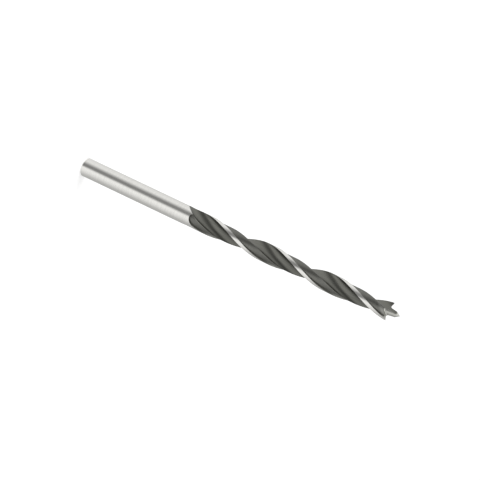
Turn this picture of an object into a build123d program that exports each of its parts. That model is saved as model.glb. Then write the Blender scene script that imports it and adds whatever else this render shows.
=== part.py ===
from build123d import *
import os
from math import atan2, ceil, cos, degrees, pi, radians, sin, sqrt, tan

# Brad point drill bit, ground from one round bar of tool steel.
# It stands on its shank: the origin is the centre of the flat shank end, and +Z runs
# up the axis to the centre point. At the height of the two outer spurs the two cutting
# edges lie along X. Millimetres and degrees throughout.

# The bar. Its full diameter is at the spurs; it tapers back along the flutes to the shank
diameter = 4.7625
back_taper = 0.04
overall_length = 88.9
shank_chamfer = 0.3

# The two flutes, measured from the centre point's tip. Angles are ahead of a cutting edge.
flute_length = 59.6
helix_pitch = 35.6
web_thickness = 1.1
flute_bottom_angle = 54
runout_radius = 10.0

# The two lands: a margin at full size, then ground cleared down to the heel
margin_width = 0.95
heel_angle = 78
land_clearance = 0.44
cleared_length = 57.8
cleared_nose = 1.7
clearance_overlap = 20

# The point: spurs at the rim, lips that fall to a valley, and the centre point
point_length = 2.67
point_angle = 67
lip_angle = 16
wall_base_radius = 0.93
wall_top_radius = 0.75
wall_height = 1.3
valley_fillet = 0.4
relief_per_turn = 4.3
flank_lead = 60

# How far a cutter reaches past what it cuts, how closely its sections follow each other,
# and where the seams of the bar's round faces lie
overrun = 1.0
section_spacing = 1.5
nose_sections = 12
seam_angle = 45

# Worked out from the sizes above
radius = diameter / 2
shank_radius = radius - back_taper / 2
spur_height = overall_length - point_length
web_radius = web_thickness / 2
land_radius = radius - land_clearance
margin_angle = degrees(margin_width / radius)
heel_from_bottom = 180 - heel_angle - flute_bottom_angle
flute_start = overall_length - flute_length
flute_depth = radius - web_radius
runout_length = sqrt(2 * runout_radius * flute_depth - flute_depth**2)
full_depth_height = flute_start + runout_length


def edge_angle(height):
    """Angle of the first cutting edge's helix at a height above the shank end."""
    return (height - spur_height) * 360 / helix_pitch


def placed(section, height, angle):
    """A flat section turned by an angle and lifted to a height."""
    return Pos(0, 0, height) * Rot(0, 0, angle) * section


def heights(bottom, top):
    """Evenly spaced heights at which a cutter's sections stand."""
    steps = ceil((top - bottom) / section_spacing)
    return [bottom + (top - bottom) * step / steps for step in range(steps + 1)]


def blank():
    """The bar: its shank chamfered at the end, its tapered body and the centre point's cone."""
    cone_radius = point_length * tan(radians(point_angle / 2))
    standing = (Align.CENTER, Align.CENTER, Align.MIN)
    shank = Cylinder(shank_radius, flute_start, align=standing)
    shank = chamfer(shank.edges().sort_by(Axis.Z)[0], shank_chamfer)
    body = Pos(0, 0, flute_start) * Cone(shank_radius, radius, spur_height - flute_start, align=standing)
    point = Pos(0, 0, spur_height) * Cone(cone_radius, 0, point_length, align=standing)
    # turned so that the seams of its round faces stay clear of the cutting edges' ends
    return Rot(0, 0, seam_angle) * (shank + body + point)


def flank_cutter():
    """What one pass grinds off behind a lip, sinking as it goes round from the cutting edge.
    Its outline is the lip, the rounded valley and the side of the centre point."""
    slope = tan(radians(lip_angle))
    taper = (wall_base_radius - wall_top_radius) / wall_height
    # where the lip's line, -(radius - r) * slope, meets the wall's line
    valley_radius = (wall_base_radius + taper * radius * slope) / (1 + taper * slope)
    reach = radius + overrun
    top = point_length + relief_per_turn / 2 + overrun
    outline = Polyline(
        (reach, overrun * slope),
        (valley_radius, (valley_radius - radius) * slope),
        (wall_top_radius, wall_height),
        (wall_top_radius, top),
        (reach, top),
        close=True,
    )
    face = make_face(outline)
    valley = face.vertices().sort_by(Axis.Y)[0]
    face = fillet(valley, valley_fillet)
    path = Helix(pitch=relief_per_turn, height=relief_per_turn / 2, radius=radius)
    swept = sweep(Plane.XZ * face, path, is_frenet=True)
    sunk = relief_per_turn * (180 - flank_lead) / 360
    return placed(swept, spur_height - sunk, flank_lead - 180)


def wheel_lift(height):
    """How far the grinding wheel has backed out of a flute at a height in the run-out."""
    below = max(0.0, full_depth_height - height)
    return runout_radius - sqrt(runout_radius**2 - below**2)


def arc_radius(edge_radius, angle_from_bottom):
    """Radius of the arc from the flute's bottom, square to it, to an edge of the flute."""
    across = edge_radius * sin(radians(angle_from_bottom))
    rise = edge_radius * cos(radians(angle_from_bottom)) - web_radius
    return (across**2 + rise**2) / (2 * rise)


def flute_section(height):
    """Section of the flute's cutter: one arc up to the cutting edge and one to the heel."""
    face_radius = arc_radius(radius, flute_bottom_angle)
    heel_radius = arc_radius(land_radius, heel_from_bottom)
    bottom = web_radius + wheel_lift(height)
    face_end = (bottom + face_radius, -face_radius)
    heel_end = (bottom + heel_radius, heel_radius)
    face_arc = TangentArc((bottom, 0), face_end, tangent=(0, -1))
    heel_arc = TangentArc((bottom, 0), heel_end, tangent=(0, 1))
    section = make_face([face_arc, heel_arc, Line(heel_end, face_end)])
    return placed(section, height, edge_angle(height) + flute_bottom_angle)


def flute_cutter():
    """One flute, from its run-out at the shank to past the centre point."""
    levels = heights(flute_start - overrun, overall_length + overrun)
    return loft([flute_section(height) for height in levels])


def land_section(height, share):
    """Section of the clearance cutter, a sector narrowed to a share of its full width."""
    far_angle = heel_angle + clearance_overlap
    middle = (margin_angle + far_angle) / 2
    half = (far_angle - margin_angle) / 2 * share
    inside = land_radius / 2
    outside = (radius + overrun) / cos(radians(half))
    rim = [(inside, -half), (outside, -half), (outside, half), (inside, half)]
    points = [(r * cos(radians(a)), r * sin(radians(a))) for r, a in rim]
    section = make_face(Polyline(*points, close=True))
    return placed(section, height, edge_angle(height) - middle)


def clearance_cutter():
    """Ground taken off a land behind its margin, starting in a rounded nose."""
    nose_end = overall_length - cleared_length + cleared_nose
    sections = []
    for step in range(1, nose_sections):
        turn = pi / 2 * step / nose_sections
        sections.append(land_section(nose_end - cleared_nose * cos(turn), sin(turn)))
    for height in heights(nose_end, overall_length + overrun):
        sections.append(land_section(height, 1))
    core = Cylinder(land_radius, 3 * overall_length)
    return loft(sections) - core


def both(cutter):
    """A cutter and the same cutter half a turn round."""
    return [cutter, Rot(0, 0, 180) * cutter]


def drill_bit():
    """The bar with its flanks, flutes and lands ground in turn."""
    bit = blank()
    for cutter in (flank_cutter(), flute_cutter(), clearance_cutter()):
        for cut in both(cutter):
            bit = bit - cut
    return bit


os.makedirs("parts", exist_ok=True)
export_step(drill_bit(), "parts/drill_bit.step")
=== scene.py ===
from math import atan2, ceil, cos, pi, radians, sin, sqrt, tan

import bmesh
import bpy
from bpy.props import FloatProperty, FloatVectorProperty, PointerProperty
from mathutils import Matrix, Quaternion, Vector


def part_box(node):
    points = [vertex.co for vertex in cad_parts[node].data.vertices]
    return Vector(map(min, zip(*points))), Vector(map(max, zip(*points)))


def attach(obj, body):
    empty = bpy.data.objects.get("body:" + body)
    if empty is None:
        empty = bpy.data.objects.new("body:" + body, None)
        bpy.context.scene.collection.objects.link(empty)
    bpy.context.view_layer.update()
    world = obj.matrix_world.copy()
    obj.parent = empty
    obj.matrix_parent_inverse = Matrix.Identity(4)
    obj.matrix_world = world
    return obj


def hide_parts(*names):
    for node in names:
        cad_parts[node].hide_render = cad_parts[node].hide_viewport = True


bl_info = {
    "name": "Brad Point Drill Bit",
    "version": (1, 0, 0),
    "blender": (4, 5, 0),
    "location": "View3D > Sidebar > Drill Bit",
    "description": "Grinds a brad point drill bit from a bar and sets it in a soft white studio",
    "category": "Object",
}

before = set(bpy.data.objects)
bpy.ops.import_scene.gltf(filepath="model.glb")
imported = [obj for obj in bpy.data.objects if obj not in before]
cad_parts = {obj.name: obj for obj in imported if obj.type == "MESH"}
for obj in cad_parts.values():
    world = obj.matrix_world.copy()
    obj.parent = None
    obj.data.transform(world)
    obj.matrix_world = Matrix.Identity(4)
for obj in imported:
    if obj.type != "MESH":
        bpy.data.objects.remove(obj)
low_corner, high_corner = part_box("drill_bit")

# How closely a cutter's sections follow each other, and how far it reaches past what it cuts.
# The lands' cutters stand out of the bar by less, because they taper against it.
SECTION_SPACING = 0.0004
OVERRUN = 0.001
SIDE_OVERRUN = 0.0001
HEEL_OVERLAP = radians(20)

# Steps round the bar, along a cutter's arc, round the clearance's nose, round the valley and
# along a flank's half turn
BAR_STEPS = 180
ARC_STEPS = 32
NOSE_STEPS = 16
VALLEY_STEPS = 12
FLANK_STEPS = 90

# Rings of vertices added along the shank, the tapered body and the centre point's cone
SHANK_RINGS = 8
BODY_RINGS = 110
CONE_RINGS = 10

# Points nearer than this are one, in what the cuts leave and in what is drawn. Edges turned
# by more than the angle stay sharp.
CUT_TOLERANCE = 0.0000015
SAME_POINT = 0.0000001
SHARP_ANGLE = radians(20)

# The grinding lines: the span of the noise that draws them, how often they change along a
# metre of helix or across the bar, how much darker and lighter they make the steel, how they
# change its roughness, and how deep they are
LINE_SPAN = (0.3, 0.7)
HELIX_LINES = 60
ROUND_LINES = 120
LINE_TONES = (0.08, 0.05)
LINE_ROUGHNESS = (1.12, 0.9)
LINE_DEPTH = 0.000004
LINE_STRENGTH = 0.3

# How the ends blended at the point fade: up the bit, and from the flute to its heel
BLEND_RISE = (-0.0006, 0.0008)
BLEND_REACH = (0.25, 0.05)

# The camera's sensor and lens in millimetres, and how near and far it sees
SENSOR_WIDTH = 36
LENS = 227.7
CLIP_NEAR = 0.01
CLIP_FAR = 20

# The studio's light: the world, two square panels with their power and place, and how much the
# white paper is lifted
WORLD_STRENGTH = 0.72
PANEL_WIDTH = 1.2
PANELS = (
    ("left_panel", 7, (-0.9, -0.5, 0.9)),
    ("right_panel", 3.5, (0.9, -0.7, 0.8)),
)
PANEL_AIM = (0, 0, 0.04)
PAPER_LIFT = 0.25
FLOOR_SEGMENTS = 8

# The tent: its size, its clearance from the floor, the hole round the bit's axis, the steps
# round it, and how far its centre lies in front of the axis, as a share of the bit's radius
TENT_RADIUS = 0.4
TENT_HEIGHT = 0.5
TENT_LIFT = 0.0001
TENT_HOLE = 0.0005
TENT_STEPS = 72
TENT_SHIFT = 0.56

# How bright the tent's cloth is at angles round the bit, in degrees from the camera's side, and
# at the back
TENT_SHADES = (
    (-150, 0.70),
    (-130, 0.80),
    (-107, 0.87),
    (-84, 0.92),
    (-68, 0.90),
    (-32, 0.25),
    (-8, 0.25),
    (13, 1.0),
    (33, 1.0),
    (58, 0.86),
    (84, 0.66),
    (104, 0.53),
    (138, 0.48),
)
BACK_SHADE = 0.62


def linear(code):
    """An sRGB hex colour as linear red, green and blue."""
    shares = [int(code[i : i + 2], 16) / 255 for i in (1, 3, 5)]
    return [s / 12.92 if s <= 0.04045 else ((s + 0.055) / 1.055) ** 2.4 for s in shares]


def length(name, description, default):
    """A length that the user may change, in metres."""
    return FloatProperty(
        name=name,
        description=description,
        unit="LENGTH",
        precision=6,
        min=0,
        default=default,
    )


def angle(name, description, default):
    """An angle that the user may change, given in degrees and kept in radians."""
    return FloatProperty(
        name=name,
        description=description,
        subtype="ANGLE",
        default=radians(default),
    )


def colour(name, description, default):
    """A colour that the user may change, given as sRGB hex."""
    return FloatVectorProperty(
        name=name,
        description=description,
        subtype="COLOR",
        min=0,
        max=1,
        default=linear(default),
    )


class DrillBitSizes(bpy.types.PropertyGroup):
    """The sizes of the bit and its wheels' passes, and the colours of its steel."""

    diameter: length("Diameter", "Across the two spurs", high_corner.x - low_corner.x)
    back_taper: length("Back taper", "How much thinner the shank is", 0.00004)
    overall_length: length("Overall length", "Shank end to centre point", high_corner.z)
    shank_chamfer: length("Shank chamfer", "Chamfer of the shank end", 0.0003)
    flute_length: length("Flute length", "From the point's tip to the run-out", 0.0596)
    helix_pitch: length("Helix pitch", "Length of one turn of a flute", 0.0356)
    web_thickness: length("Web thickness", "Between the two flutes", 0.0011)
    flute_bottom: angle("Flute bottom", "From a cutting edge to the flute's bottom", 54)
    runout_radius: length("Run-out radius", "Radius of the flutes' wheel", 0.01)
    margin_width: length("Margin width", "Land left at full size", 0.00095)
    heel_angle: angle("Heel angle", "From a cutting edge back to its land's heel", 78)
    land_clearance: length("Land clearance", "Ground off behind the margin", 0.00044)
    cleared_length: length("Cleared length", "From the point's tip to the nose", 0.0578)
    cleared_nose: length("Clearance nose", "Length of the rounded nose", 0.0017)
    point_length: length("Point length", "Centre point above the spurs", 0.00267)
    point_angle: angle("Point angle", "Full angle of the centre point", 67)
    lip_angle: angle("Lip angle", "Fall of a lip from its spur", 16)
    wall_base: length("Wall base", "Centre point's radius at the valley", 0.00093)
    wall_top: length("Wall top", "Centre point's radius at its shoulder", 0.00075)
    wall_height: length("Wall height", "Shoulder above the spurs", 0.0013)
    valley_fillet: length("Valley fillet", "Rounding of the valley", 0.0004)
    relief_per_turn: length("Relief", "Fall of a flank in one turn", 0.0043)
    flank_lead: angle("Flank lead", "Flank cut ahead of its lip", 60)
    blended_length: length("Blended length", "Ends of the lands blended at the heel", 0.0035)
    line_spacing: length("Line spacing", "Grinding lines, drawn coarse to show", 0.0004)
    bright_colour: colour("Bright steel", "Shank and margins", "#EAE9E5")
    flute_colour: colour("Flute steel", "Hollow of the flutes", "#787872")
    relief_colour: colour("Relieved steel", "Lands behind the margins", "#7A7A75")
    point_colour: colour("Point steel", "Lips and centre point", "#BCBCB6")
    blend_colour: colour("Blended steel", "Ends of the lands and flutes", "#94948F")

    @property
    def radius(self):
        return self.diameter / 2

    @property
    def spur_height(self):
        return self.overall_length - self.point_length

    @property
    def land_radius(self):
        return self.radius - self.land_clearance

    def edge_angle(self, height):
        """Angle of the first cutting edge's helix at a height."""
        return (height - self.spur_height) * 2 * pi / self.helix_pitch

    def wheel_lift(self, height):
        """How far the flutes' wheel has backed out at a height in the run-out."""
        depth = self.radius - self.web_thickness / 2
        run = sqrt(2 * self.runout_radius * depth - depth**2)
        start = self.overall_length - self.flute_length
        below = max(0.0, start + run - height)
        return self.runout_radius - sqrt(self.runout_radius**2 - below**2)


class DrillBitStage(bpy.types.PropertyGroup):
    """The floor, the light and the camera."""

    floor_width: FloatProperty(
        name="Floor width",
        description="Side of the square floor",
        unit="LENGTH",
        default=8.0,
    )
    floor_colour: FloatVectorProperty(
        name="Floor",
        description="White paper",
        subtype="COLOR",
        min=0,
        max=1,
        default=linear("#F4F4F4"),
    )
    camera_azimuth: FloatProperty(
        name="Camera azimuth",
        description="Angle of the camera round the bit, from the front",
        subtype="ANGLE",
        default=radians(9.23),
    )
    camera_elevation: FloatProperty(
        name="Camera elevation",
        description="Angle of the camera above the horizon",
        subtype="ANGLE",
        default=radians(19.09),
    )
    camera_roll: FloatProperty(
        name="Camera roll",
        description="Turn of the camera about its line of sight",
        subtype="ANGLE",
        default=radians(115.44),
    )
    camera_distance: FloatProperty(
        name="Camera distance",
        description="Distance from the camera to the point that it looks at",
        unit="LENGTH",
        default=0.73166,
    )
    camera_aim: FloatVectorProperty(
        name="Camera aim",
        description="The point that the camera looks at",
        subtype="XYZ",
        unit="LENGTH",
        precision=5,
        default=(-0.000067, -0.000015, 0.044602),
    )


def add_node(tree, kind, settings=None, inputs=None):
    """Adds a node with its settings, and fills its inputs with values or links."""
    node = tree.nodes.new(kind)
    for name, value in (settings or {}).items():
        setattr(node, name, value)
    for key, value in (inputs or {}).items():
        if isinstance(value, bpy.types.NodeSocket):
            tree.links.new(value, node.inputs[key])
        else:
            node.inputs[key].default_value = value
    return node


def empty_material(name):
    """A material whose nodes are still to be added."""
    material = bpy.data.materials.new(name)
    material.use_nodes = True
    material.node_tree.nodes.clear()
    return material


def helix_share(tree, sizes, axes):
    """How far a point lies ahead of a cutting edge, as a share of the half turn between the two:
    the flute comes first, and then the next edge's land."""
    turned = add_node(
        tree,
        "ShaderNodeMath",
        {"operation": "ARCTAN2"},
        {0: axes.outputs["Y"], 1: axes.outputs["X"]},
    )
    above = add_node(
        tree,
        "ShaderNodeMath",
        {"operation": "SUBTRACT"},
        {0: axes.outputs["Z"], 1: sizes.spur_height},
    )
    twist = add_node(
        tree,
        "ShaderNodeMath",
        {"operation": "MULTIPLY"},
        {0: above.outputs[0], 1: 2 * pi / sizes.helix_pitch},
    )
    ahead = add_node(
        tree,
        "ShaderNodeMath",
        {"operation": "SUBTRACT"},
        {0: turned.outputs[0], 1: twist.outputs[0]},
    )
    halves = add_node(
        tree,
        "ShaderNodeMath",
        {"operation": "DIVIDE"},
        {0: ahead.outputs[0], 1: pi},
    )
    share = add_node(tree, "ShaderNodeMath", {"operation": "FRACT"}, {0: halves.outputs[0]})
    return share.outputs[0]


def near_point(tree, sizes, axes, share):
    """How far the point's wheel has blended the ends of the lands, and of the flutes beside
    their heels: a band that is widest at the heels. It fades to 0 below, and into the flutes."""
    heel = 1 - sizes.heel_angle / pi
    lowest = sizes.spur_height - sizes.blended_length
    rise = add_node(
        tree,
        "ShaderNodeMapRange",
        inputs={
            "Value": share,
            "From Min": heel,
            "From Max": 1.0,
            "To Min": lowest,
            "To Max": sizes.spur_height,
        },
    )
    above = add_node(
        tree,
        "ShaderNodeMath",
        {"operation": "SUBTRACT"},
        {0: axes.outputs["Z"], 1: rise.outputs[0]},
    )
    blend = add_node(
        tree,
        "ShaderNodeMapRange",
        {"interpolation_type": "SMOOTHSTEP"},
        {
            "Value": above.outputs[0],
            "From Min": BLEND_RISE[0],
            "From Max": BLEND_RISE[1],
        },
    )
    beside = add_node(
        tree,
        "ShaderNodeMapRange",
        {"interpolation_type": "SMOOTHSTEP"},
        {
            "Value": share,
            "From Min": heel - BLEND_REACH[0],
            "From Max": heel - BLEND_REACH[1],
        },
    )
    both = add_node(
        tree,
        "ShaderNodeMath",
        {"operation": "MULTIPLY"},
        {0: blend.outputs[0], 1: beside.outputs[0]},
    )
    return both.outputs[0]


def steel(name, tone, sizes, shades, roughness, marks=1.0, along_helix=False, blended=False):
    """Ground steel with the wheel's fine lines, round the bar or along the helix. Shades are
    (share of the half turn ahead of a cutting edge, brightness): painted shade and highlight
    that follow the helix. Marks is how strong the lines are."""
    material = empty_material(name)
    tree = material.node_tree
    place = add_node(tree, "ShaderNodeTexCoord")
    axes = add_node(tree, "ShaderNodeSeparateXYZ", inputs={0: place.outputs["Object"]})
    share = helix_share(tree, sizes, axes)
    if along_helix:
        across = add_node(
            tree,
            "ShaderNodeCombineXYZ",
            inputs={"X": axes.outputs["X"], "Y": axes.outputs["Y"]},
        )
        from_axis = add_node(
            tree,
            "ShaderNodeVectorMath",
            {"operation": "LENGTH"},
            {0: across.outputs[0]},
        )
        follow = add_node(
            tree,
            "ShaderNodeCombineXYZ",
            inputs={"X": share, "Y": from_axis.outputs["Value"], "Z": axes.outputs["Z"]},
        ).outputs[0]
        half_turn = pi * sizes.radius
        stretch = (half_turn / sizes.line_spacing, 1 / sizes.line_spacing, HELIX_LINES)
    else:
        follow = place.outputs["Object"]
        stretch = (ROUND_LINES, ROUND_LINES, 1 / sizes.line_spacing)
    mapping = add_node(
        tree,
        "ShaderNodeMapping",
        inputs={"Vector": follow, "Scale": stretch},
    )
    lines = add_node(
        tree,
        "ShaderNodeTexNoise",
        inputs={"Vector": mapping.outputs[0], "Scale": 1.0, "Detail": 4.0, "Roughness": 0.65},
    ).outputs["Fac"]
    streak = add_node(
        tree,
        "ShaderNodeMapRange",
        inputs={
            "Value": lines,
            "From Min": LINE_SPAN[0],
            "From Max": LINE_SPAN[1],
            "To Min": 1 - LINE_TONES[0] * marks,
            "To Max": 1 + LINE_TONES[1] * marks,
        },
    )
    # Painted shade and highlight: the steel's brightness set by its place round the helix
    painted_shade = add_node(tree, "ShaderNodeValToRGB", inputs={0: share})
    ramp = painted_shade.color_ramp
    ramp.elements.remove(ramp.elements[1])
    ramp.elements[0].position = shades[0][0]
    for position, _ in shades[1:]:
        ramp.elements.new(position)
    for stop, (_, brightness) in zip(ramp.elements, shades):
        stop.color = (brightness, brightness, brightness, 1)
    both = add_node(
        tree,
        "ShaderNodeMath",
        {"operation": "MULTIPLY"},
        {0: streak.outputs[0], 1: painted_shade.outputs[0]},
    )
    shaded = add_node(
        tree,
        "ShaderNodeVectorMath",
        {"operation": "SCALE"},
        {0: tuple(tone), "Scale": both.outputs[0]},
    ).outputs[0]
    if blended:
        shaded = add_node(
            tree,
            "ShaderNodeMix",
            {"data_type": "RGBA"},
            {
                "Factor": near_point(tree, sizes, axes, share),
                "A": shaded,
                "B": (*sizes.blend_colour, 1),
            },
        ).outputs["Result"]
    dullness = add_node(
        tree,
        "ShaderNodeMapRange",
        inputs={
            "Value": lines,
            "From Min": LINE_SPAN[0],
            "From Max": LINE_SPAN[1],
            "To Min": roughness * LINE_ROUGHNESS[0],
            "To Max": roughness * LINE_ROUGHNESS[1],
        },
    )
    relief = add_node(
        tree,
        "ShaderNodeBump",
        inputs={"Strength": LINE_STRENGTH * marks, "Distance": LINE_DEPTH, "Height": lines},
    )
    shader = add_node(
        tree,
        "ShaderNodeBsdfPrincipled",
        inputs={
            "Base Color": shaded,
            "Metallic": 1.0,
            "Roughness": dullness.outputs[0],
            "Normal": relief.outputs[0],
        },
    )
    add_node(tree, "ShaderNodeOutputMaterial", inputs={"Surface": shader.outputs[0]})
    return material


def bright_steel(sizes):
    """Hardened steel ground to size between two wheels, as shanks and margins are: nearly a
    mirror, with fine lines round the bar."""
    return steel(
        "bright_ground_steel",
        sizes.bright_colour,
        sizes,
        shades=((0.0, 1.0), (1.0, 1.0)),
        roughness=0.2,
        marks=0.5,
    )


def flute_steel(sizes):
    """The flutes are ground by one deep pass along the helix, which leaves the steel dull; its
    tone is set darker than the shank's. Painted shade darkens a band along the flute's bottom,
    and darkens the steep wall under the heel most."""
    heel = 1 - sizes.heel_angle / pi
    return steel(
        "flute_ground_steel",
        sizes.flute_colour,
        sizes,
        # Painted shade across the flute: a darker band at its bottom, and darker still towards
        # the wall under the heel
        shades=(
            (0.0, 0.95),
            (0.15, 0.98),
            (0.3, 0.85),
            (0.4, 0.92),
            (heel - 0.04, 0.76),
            (heel, 0.78),
            (0.75, 0.8),
            (0.9, 1.0),
        ),
        roughness=0.3,
        along_helix=True,
        blended=True,
    )


def relieved_steel(sizes):
    """The lands are ground below size behind their margins and left dull. A painted highlight
    runs along their heels, and a painted lighter band beside the margin's step. Their ends are
    blended when the point is ground."""
    heel = 1 - sizes.heel_angle / pi
    step = 1 - sizes.margin_width / sizes.radius / pi
    return steel(
        "relieved_ground_steel",
        sizes.relief_colour,
        sizes,
        # Painted highlight at the heel, a painted lighter band at the margin's step, and painted
        # shade a little darker between
        shades=((heel, 1.4), (heel + 0.02, 0.9), (0.7, 0.88), (0.8, 0.98), (step, 1.25)),
        roughness=0.4,
        blended=True,
    )


def point_steel(sizes):
    """The lips and the centre point are ground last, on a fine wheel: fresh even grey."""
    return steel(
        "point_ground_steel",
        sizes.point_colour,
        sizes,
        shades=((0.0, 1.0), (1.0, 1.0)),
        roughness=0.3,
    )


def arc(shape, start, centre, turn, steps, axis=(0, 0, 1)):
    """Draws an arc from a vertex round a centre, and returns the vertex at its end."""
    drawn = bmesh.ops.spin(
        shape,
        geom=[start],
        cent=centre,
        axis=axis,
        angle=turn,
        steps=steps,
    )
    return drawn["geom_last"][0]


def raised(shape, ring, rise, turn, shift=(0, 0, 0)):
    """Extrudes a closed ring of edges, shifts, turns and raises it, and returns the new one."""
    drawn = bmesh.ops.extrude_edge_only(shape, edges=ring)["geom"]
    verts = [part for part in drawn if isinstance(part, bmesh.types.BMVert)]
    new = set(verts)
    bmesh.ops.translate(shape, verts=verts, vec=shift)
    bmesh.ops.rotate(shape, verts=verts, matrix=Matrix.Rotation(turn, 3, "Z"))
    bmesh.ops.translate(shape, verts=verts, vec=(0, 0, rise))
    edges = [part for part in drawn if isinstance(part, bmesh.types.BMEdge)]
    return [edge for edge in edges if new.issuperset(edge.verts)]


def closed(shape, first, last):
    """Caps the two ends of a swept ring and turns its faces outwards."""
    bmesh.ops.contextual_create(shape, geom=first)
    bmesh.ops.contextual_create(shape, geom=last)
    bmesh.ops.recalc_face_normals(shape, faces=shape.faces)
    return shape


def both_sides(shape):
    """Adds the same cutter half a turn round."""
    copied = bmesh.ops.duplicate(shape, geom=shape.verts[:] + shape.edges[:] + shape.faces[:])
    verts = [part for part in copied["geom"] if isinstance(part, bmesh.types.BMVert)]
    bmesh.ops.rotate(shape, verts=verts, matrix=Matrix.Rotation(pi, 3, "Z"))
    return shape


def made(shape, name, *materials):
    """Turns a shape into an object with its materials."""
    mesh = bpy.data.meshes.new(name)
    shape.to_mesh(mesh)
    shape.free()
    for material in materials:
        mesh.materials.append(material)
    result = bpy.data.objects.new(name, mesh)
    bpy.context.scene.collection.objects.link(result)
    return result


def bar(sizes):
    """The round bar, chamfered at the shank end, tapered back from the spurs and turned to a
    cone for the centre point."""
    shape = bmesh.new()
    shank = sizes.radius - sizes.back_taper / 2
    start = sizes.overall_length - sizes.flute_length
    cone = sizes.point_length * tan(sizes.point_angle / 2)
    outline = (
        (0, 0),
        (shank - sizes.shank_chamfer, 0),
        (shank, sizes.shank_chamfer),
        (shank, start),
        (sizes.radius, sizes.spur_height),
        (cone, sizes.spur_height),
        (0, sizes.overall_length),
    )
    verts = [shape.verts.new((across, 0, height)) for across, height in outline]
    edges = [shape.edges.new(pair) for pair in zip(verts, verts[1:])]
    _, _, shank_side, body_side, _, cone_side = edges
    for side, rings in (
        (shank_side, SHANK_RINGS),
        (body_side, BODY_RINGS),
        (cone_side, CONE_RINGS),
    ):
        bmesh.ops.subdivide_edges(shape, edges=[side], cuts=rings)
    bmesh.ops.spin(
        shape,
        geom=shape.verts[:] + shape.edges[:],
        axis=(0, 0, 1),
        angle=2 * pi,
        steps=BAR_STEPS,
        use_merge=True,
    )
    bmesh.ops.remove_doubles(shape, verts=shape.verts, dist=SAME_POINT)
    bmesh.ops.recalc_face_normals(shape, faces=shape.faces)
    for face in shape.faces:
        if face.calc_center_median().z > sizes.spur_height:
            face.material_index = 1
    return shape


def flutes(sizes):
    """The two flutes' cutters. Each section is two arcs from the flute's bottom, one up to the
    cutting edge and one to the heel, and follows the helix out of the run-out."""
    shape = bmesh.new()
    web = sizes.web_thickness / 2
    to_heel = pi - sizes.heel_angle - sizes.flute_bottom

    def arc_radius(reach, from_bottom):
        across = reach * sin(from_bottom)
        deep = reach * cos(from_bottom) - web
        return (across**2 + deep**2) / (2 * deep)

    face = arc_radius(sizes.radius, sizes.flute_bottom)
    heel = arc_radius(sizes.land_radius, to_heel)
    height = sizes.overall_length - sizes.flute_length - OVERRUN
    top = sizes.overall_length + OVERRUN
    steps = ceil((top - height) / SECTION_SPACING)
    rise = (top - height) / steps
    turn = rise * 2 * pi / sizes.helix_pitch
    bottom = web + sizes.wheel_lift(height)
    start = shape.verts.new((bottom + heel, heel, height))
    middle = arc(shape, start, (bottom + heel, 0, height), pi / 2, ARC_STEPS)
    end = arc(shape, middle, (bottom + face, 0, height), pi / 2, ARC_STEPS)
    shape.edges.new((end, start))
    facing = sizes.edge_angle(height) + sizes.flute_bottom
    bmesh.ops.rotate(shape, verts=shape.verts, matrix=Matrix.Rotation(facing, 3, "Z"))
    first = ring = shape.edges[:]
    for _ in range(steps):
        sink = sizes.wheel_lift(height + rise) - sizes.wheel_lift(height)
        ring = raised(shape, ring, rise, turn, (sink * cos(facing), sink * sin(facing), 0))
        height += rise
        facing += turn
    return both_sides(closed(shape, first, ring))


def clearances(sizes):
    """The two lands' cutters: a sector of a ring from the margin to past the heel, which
    starts in a rounded nose and follows the helix."""
    shape = bmesh.new()
    margin = sizes.margin_width / sizes.radius
    far = sizes.heel_angle + HEEL_OVERLAP
    width = far - margin
    outside = sizes.radius + SIDE_OVERRUN
    nose_end = sizes.overall_length - sizes.cleared_length + sizes.cleared_nose
    nose = [pi / 2 * step / NOSE_STEPS for step in range(1, NOSE_STEPS + 1)]
    levels = [(nose_end - sizes.cleared_nose * cos(turn), sin(turn)) for turn in nose]
    steps = ceil((sizes.overall_length + OVERRUN - nose_end) / SECTION_SPACING)
    rise = (sizes.overall_length + OVERRUN - nose_end) / steps
    levels += [(nose_end + rise * (step + 1), 1) for step in range(steps)]

    height, share = levels[0]
    inner = shape.verts.new((sizes.land_radius, 0, height))
    outer = shape.verts.new((outside, 0, height))
    bmesh.ops.rotate(
        shape,
        verts=shape.verts,
        matrix=Matrix.Rotation(-width * share / 2, 3, "Z"),
    )
    inner_end = arc(shape, inner, (0, 0, height), width * share, ARC_STEPS)
    outer_end = arc(shape, outer, (0, 0, height), width * share, ARC_STEPS)
    shape.edges.new((inner, outer))
    shape.edges.new((inner_end, outer_end))
    facing = sizes.edge_angle(height) - (margin + far) / 2
    bmesh.ops.rotate(shape, verts=shape.verts, matrix=Matrix.Rotation(facing, 3, "Z"))
    first = ring = shape.edges[:]
    for level, wide in levels[1:]:
        turn = (level - height) * 2 * pi / sizes.helix_pitch
        ring = raised(shape, ring, level - height, turn)
        facing += turn
        if wide != share:
            for vert in {vert for edge in ring for vert in edge.verts}:
                aside = atan2(vert.co.y, vert.co.x) - facing
                aside = (aside + pi) % (2 * pi) - pi
                spread = Matrix.Rotation(aside * (wide / share - 1), 3, "Z")
                bmesh.ops.rotate(shape, verts=[vert], matrix=spread)
        height, share = level, wide
    return both_sides(closed(shape, first, ring))


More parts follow.
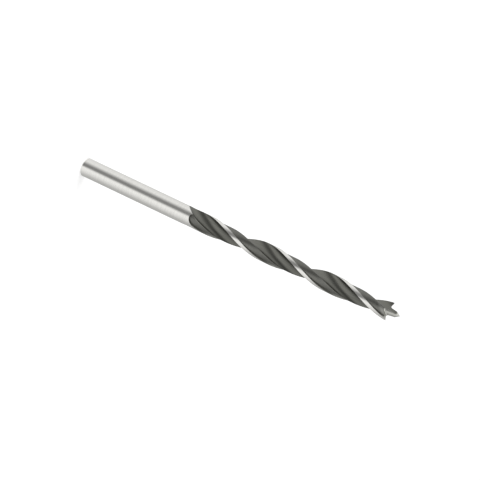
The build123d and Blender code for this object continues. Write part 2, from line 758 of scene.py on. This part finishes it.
def flank(sizes, turned):
    """One pass over a lip, sinking as it goes round from the cutting edge. Its outline is the
    lip, the rounded valley and the side of the centre point."""
    shape = bmesh.new()
    slope = tan(sizes.lip_angle)
    taper = (sizes.wall_base - sizes.wall_top) / sizes.wall_height
    valley = (sizes.wall_base + taper * sizes.radius * slope) / (1 + taper * slope)
    corner = Vector((valley, 0, (valley - sizes.radius) * slope))
    reach = sizes.radius + OVERRUN
    top = sizes.point_length + sizes.relief_per_turn / 2 + OVERRUN
    outwards = Vector((cos(sizes.lip_angle), 0, sin(sizes.lip_angle)))
    upwards = Vector((sizes.wall_top, 0, sizes.wall_height)) - corner
    upwards.normalize()
    opening = outwards.angle(upwards)
    tangent = sizes.valley_fillet / tan(opening / 2)
    centre = corner + (outwards + upwards).normalized() * sizes.valley_fillet / sin(opening / 2)
    rim = shape.verts.new((reach, 0, (reach - sizes.radius) * slope))
    begin = shape.verts.new(corner + outwards * tangent)
    finish = arc(shape, begin, centre, pi - opening, VALLEY_STEPS, axis=(0, 1, 0))
    shoulder = shape.verts.new((sizes.wall_top, 0, sizes.wall_height))
    above = shape.verts.new((sizes.wall_top, 0, top))
    beyond = shape.verts.new((reach, 0, top))
    loop = [finish, shoulder, above, beyond, rim, begin]
    for pair in zip(loop, loop[1:]):
        shape.edges.new(pair)
    sunk = sizes.relief_per_turn * (pi - sizes.flank_lead) / (2 * pi)
    place = Matrix.Rotation(sizes.flank_lead - pi + turned, 3, "Z")
    bmesh.ops.rotate(shape, verts=shape.verts, matrix=place)
    bmesh.ops.translate(shape, verts=shape.verts, vec=(0, 0, sizes.spur_height - sunk))
    first = ring = shape.edges[:]
    rise = sizes.relief_per_turn / 2 / FLANK_STEPS
    for _ in range(FLANK_STEPS):
        ring = raised(shape, ring, rise, pi / FLANK_STEPS)
    return closed(shape, first, ring)


def cleaned(mesh):
    """Merges the slivers that the cuts leave, and shades all but the edges smooth."""
    shape = bmesh.new()
    shape.from_mesh(mesh)
    bmesh.ops.remove_doubles(shape, verts=shape.verts, dist=CUT_TOLERANCE)
    bmesh.ops.dissolve_degenerate(shape, edges=shape.edges, dist=SAME_POINT)
    bmesh.ops.recalc_face_normals(shape, faces=shape.faces)
    shape.to_mesh(mesh)
    shape.free()
    mesh.name = "ground_drill_bit"
    mesh.shade_smooth()
    mesh.set_sharp_from_angle(angle=SHARP_ANGLE)
    return mesh


class DRILLBIT_OT_bit(bpy.types.Operator):
    """Grinds the drill bit from its bar, one wheel after another"""

    bl_idname = "drillbit.bit"
    bl_label = "Drill Bit"

    def execute(self, context):
        sizes = context.scene.drill_bit_sizes
        bright, fresh = bright_steel(sizes), point_steel(sizes)
        rough = made(bar(sizes), "rough_bar", bright, fresh)
        cutters = [
            made(flank(sizes, 0), "first_flank", fresh),
            made(flank(sizes, pi), "second_flank", fresh),
            made(flutes(sizes), "flutes", flute_steel(sizes)),
            made(clearances(sizes), "clearances", relieved_steel(sizes)),
        ]
        for cutter in cutters:
            cut = rough.modifiers.new(cutter.name, "BOOLEAN")
            cut.operation = "DIFFERENCE"
            cut.solver = "EXACT"
            cut.material_mode = "TRANSFER"
            cut.object = cutter
        depsgraph = context.evaluated_depsgraph_get()
        mesh = bpy.data.meshes.new_from_object(rough.evaluated_get(depsgraph))
        bit = bpy.data.objects.new("ground_drill_bit", cleaned(mesh))
        context.scene.collection.objects.link(bit)
        for used in [rough, *cutters]:
            bpy.data.objects.remove(used)
        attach(bit, "root")
        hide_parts("drill_bit")
        return {"FINISHED"}


def light(name, power, position):
    """A square soft light aimed at the bit."""
    lamp = bpy.data.lights.new(name, "AREA")
    lamp.shape = "SQUARE"
    lamp.size = PANEL_WIDTH
    lamp.energy = power
    holder = bpy.data.objects.new(name, lamp)
    holder.location = position
    holder.rotation_mode = "QUATERNION"
    away = Vector(position) - Vector(PANEL_AIM)
    holder.rotation_quaternion = away.to_track_quat("Z", "Y")
    bpy.context.scene.collection.objects.link(holder)


def cloth():
    """The tent's lit cloth, white with a grey gap beside the camera and a shaded side. The
    shades follow the angle round the bit."""
    material = empty_material("tent_cloth")
    tree = material.node_tree
    place = add_node(tree, "ShaderNodeTexCoord")
    axes = add_node(tree, "ShaderNodeSeparateXYZ", inputs={0: place.outputs["Object"]})
    angle = add_node(
        tree,
        "ShaderNodeMath",
        {"operation": "ARCTAN2"},
        {0: axes.outputs["Y"], 1: axes.outputs["X"]},
    )
    round_share = add_node(
        tree,
        "ShaderNodeMapRange",
        inputs={"Value": angle.outputs[0], "From Min": -pi, "From Max": pi},
    )
    shades = add_node(tree, "ShaderNodeValToRGB", inputs={0: round_share.outputs[0]})
    ramp = shades.color_ramp
    ramp.elements[0].color = ramp.elements[1].color = (BACK_SHADE, BACK_SHADE, BACK_SHADE, 1)
    for degrees_round, painted_shade in TENT_SHADES:
        stop = ramp.elements.new(degrees_round / 360 + 0.5)
        stop.color = (painted_shade, painted_shade, painted_shade, 1)
    glow = add_node(tree, "ShaderNodeEmission", inputs={"Color": shades.outputs[0]})
    add_node(tree, "ShaderNodeOutputMaterial", inputs={"Surface": glow.outputs[0]})
    return material


def tent(sizes, stage):
    """A round tent over the bit that only gloss sees, so it shades nothing. It is centred a
    little in front of the axis, which keeps its gap's reflection even down to the foot."""
    wall = bmesh.new()
    profile = (
        (TENT_HOLE, 0, TENT_LIFT),
        (TENT_RADIUS, 0, TENT_LIFT),
        (TENT_RADIUS, 0, TENT_HEIGHT),
    )
    corners = [wall.verts.new(corner) for corner in profile]
    edges = [wall.edges.new(pair) for pair in zip(corners, corners[1:])]
    bmesh.ops.spin(
        wall,
        geom=corners + edges,
        axis=(0, 0, 1),
        angle=2 * pi,
        steps=TENT_STEPS,
        use_merge=True,
    )
    mesh = bpy.data.meshes.new("tent")
    wall.to_mesh(mesh)
    wall.free()
    mesh.materials.append(cloth())
    cover = bpy.data.objects.new("tent", mesh)
    to_camera = stage.camera_azimuth - pi / 2
    cover.rotation_euler.z = to_camera
    forward = Vector((TENT_SHIFT * sizes.radius, 0, 0))
    cover.location = Matrix.Rotation(to_camera, 3, "Z") @ forward
    cover.visible_camera = False
    cover.visible_diffuse = False
    cover.visible_shadow = False
    bpy.context.scene.collection.objects.link(cover)


def paper(stage):
    """White paper, matt. What the camera and the steel's gloss see of it is lifted to white."""
    material = empty_material("white_paper")
    tree = material.node_tree
    path = add_node(tree, "ShaderNodeLightPath")
    seen = add_node(
        tree,
        "ShaderNodeMath",
        {"operation": "MAXIMUM"},
        {0: path.outputs["Is Camera Ray"], 1: path.outputs["Is Glossy Ray"]},
    )
    seen = add_node(
        tree,
        "ShaderNodeMath",
        {"operation": "MAXIMUM"},
        {0: seen.outputs[0], 1: path.outputs["Is Transmission Ray"]},
    )
    lift = add_node(
        tree,
        "ShaderNodeMath",
        {"operation": "MULTIPLY"},
        {0: seen.outputs[0], 1: PAPER_LIFT},
    )
    matt = add_node(
        tree,
        "ShaderNodeBsdfDiffuse",
        inputs={"Color": (*stage.floor_colour, 1)},
    )
    glow = add_node(tree, "ShaderNodeEmission", inputs={"Strength": lift.outputs[0]})
    both = add_node(
        tree,
        "ShaderNodeAddShader",
        inputs={0: matt.outputs[0], 1: glow.outputs[0]},
    )
    add_node(tree, "ShaderNodeOutputMaterial", inputs={"Surface": both.outputs[0]})
    return material


class DRILLBIT_OT_stage(bpy.types.Operator):
    """Lays the floor, sets the lights and places the camera"""

    bl_idname = "drillbit.stage"
    bl_label = "Studio"

    def execute(self, context):
        stage = context.scene.drill_bit_stage
        sheet = bmesh.new()
        bmesh.ops.create_grid(
            sheet,
            x_segments=FLOOR_SEGMENTS,
            y_segments=FLOOR_SEGMENTS,
            size=stage.floor_width / 2,
        )
        mesh = bpy.data.meshes.new("floor")
        sheet.to_mesh(mesh)
        sheet.free()
        mesh.materials.append(paper(stage))
        floor = bpy.data.objects.new("floor", mesh)
        context.scene.collection.objects.link(floor)

        world = bpy.data.worlds.new("studio")
        world.use_nodes = True
        sky = world.node_tree.nodes["Background"]
        sky.inputs["Color"].default_value = (1, 1, 1, 1)
        sky.inputs["Strength"].default_value = WORLD_STRENGTH
        context.scene.world = world

        for name, power, position in PANELS:
            light(name, power, position)
        tent(context.scene.drill_bit_sizes, stage)

        azimuth, elevation = stage.camera_azimuth, stage.camera_elevation
        back = Vector(
            (
                sin(azimuth) * cos(elevation),
                -cos(azimuth) * cos(elevation),
                sin(elevation),
            )
        )
        camera = bpy.data.objects.new("camera", bpy.data.cameras.new("camera"))
        camera.data.sensor_width = SENSOR_WIDTH
        camera.data.lens = LENS
        camera.data.clip_start = CLIP_NEAR
        camera.data.clip_end = CLIP_FAR
        camera.location = Vector(stage.camera_aim) + back * stage.camera_distance
        camera.rotation_mode = "QUATERNION"
        roll = Quaternion((0, 0, 1), stage.camera_roll)
        camera.rotation_quaternion = back.to_track_quat("Z", "Y") @ roll
        context.scene.collection.objects.link(camera)
        context.scene.camera = camera
        context.scene.view_settings.view_transform = "Standard"
        return {"FINISHED"}


class DRILLBIT_PT_panel(bpy.types.Panel):
    """The drill bit's steps and settings"""

    bl_label = "Drill Bit"
    bl_idname = "DRILLBIT_PT_panel"
    bl_space_type = "VIEW_3D"
    bl_region_type = "UI"
    bl_category = "Drill Bit"

    def draw(self, context):
        layout = self.layout
        layout.operator(DRILLBIT_OT_bit.bl_idname)
        layout.operator(DRILLBIT_OT_stage.bl_idname)


CLASSES = (DrillBitSizes, DrillBitStage, DRILLBIT_OT_bit, DRILLBIT_OT_stage, DRILLBIT_PT_panel)


def register():
    for cls in CLASSES:
        bpy.utils.register_class(cls)
    bpy.types.Scene.drill_bit_sizes = PointerProperty(type=DrillBitSizes)
    bpy.types.Scene.drill_bit_stage = PointerProperty(type=DrillBitStage)


def unregister():
    del bpy.types.Scene.drill_bit_stage
    del bpy.types.Scene.drill_bit_sizes
    for cls in reversed(CLASSES):
        bpy.utils.unregister_class(cls)


def main():
    """Makes the whole scene."""
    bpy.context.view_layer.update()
    register()
    bpy.ops.drillbit.bit()
    bpy.ops.drillbit.stage()


if __name__ == "__main__":
    main()
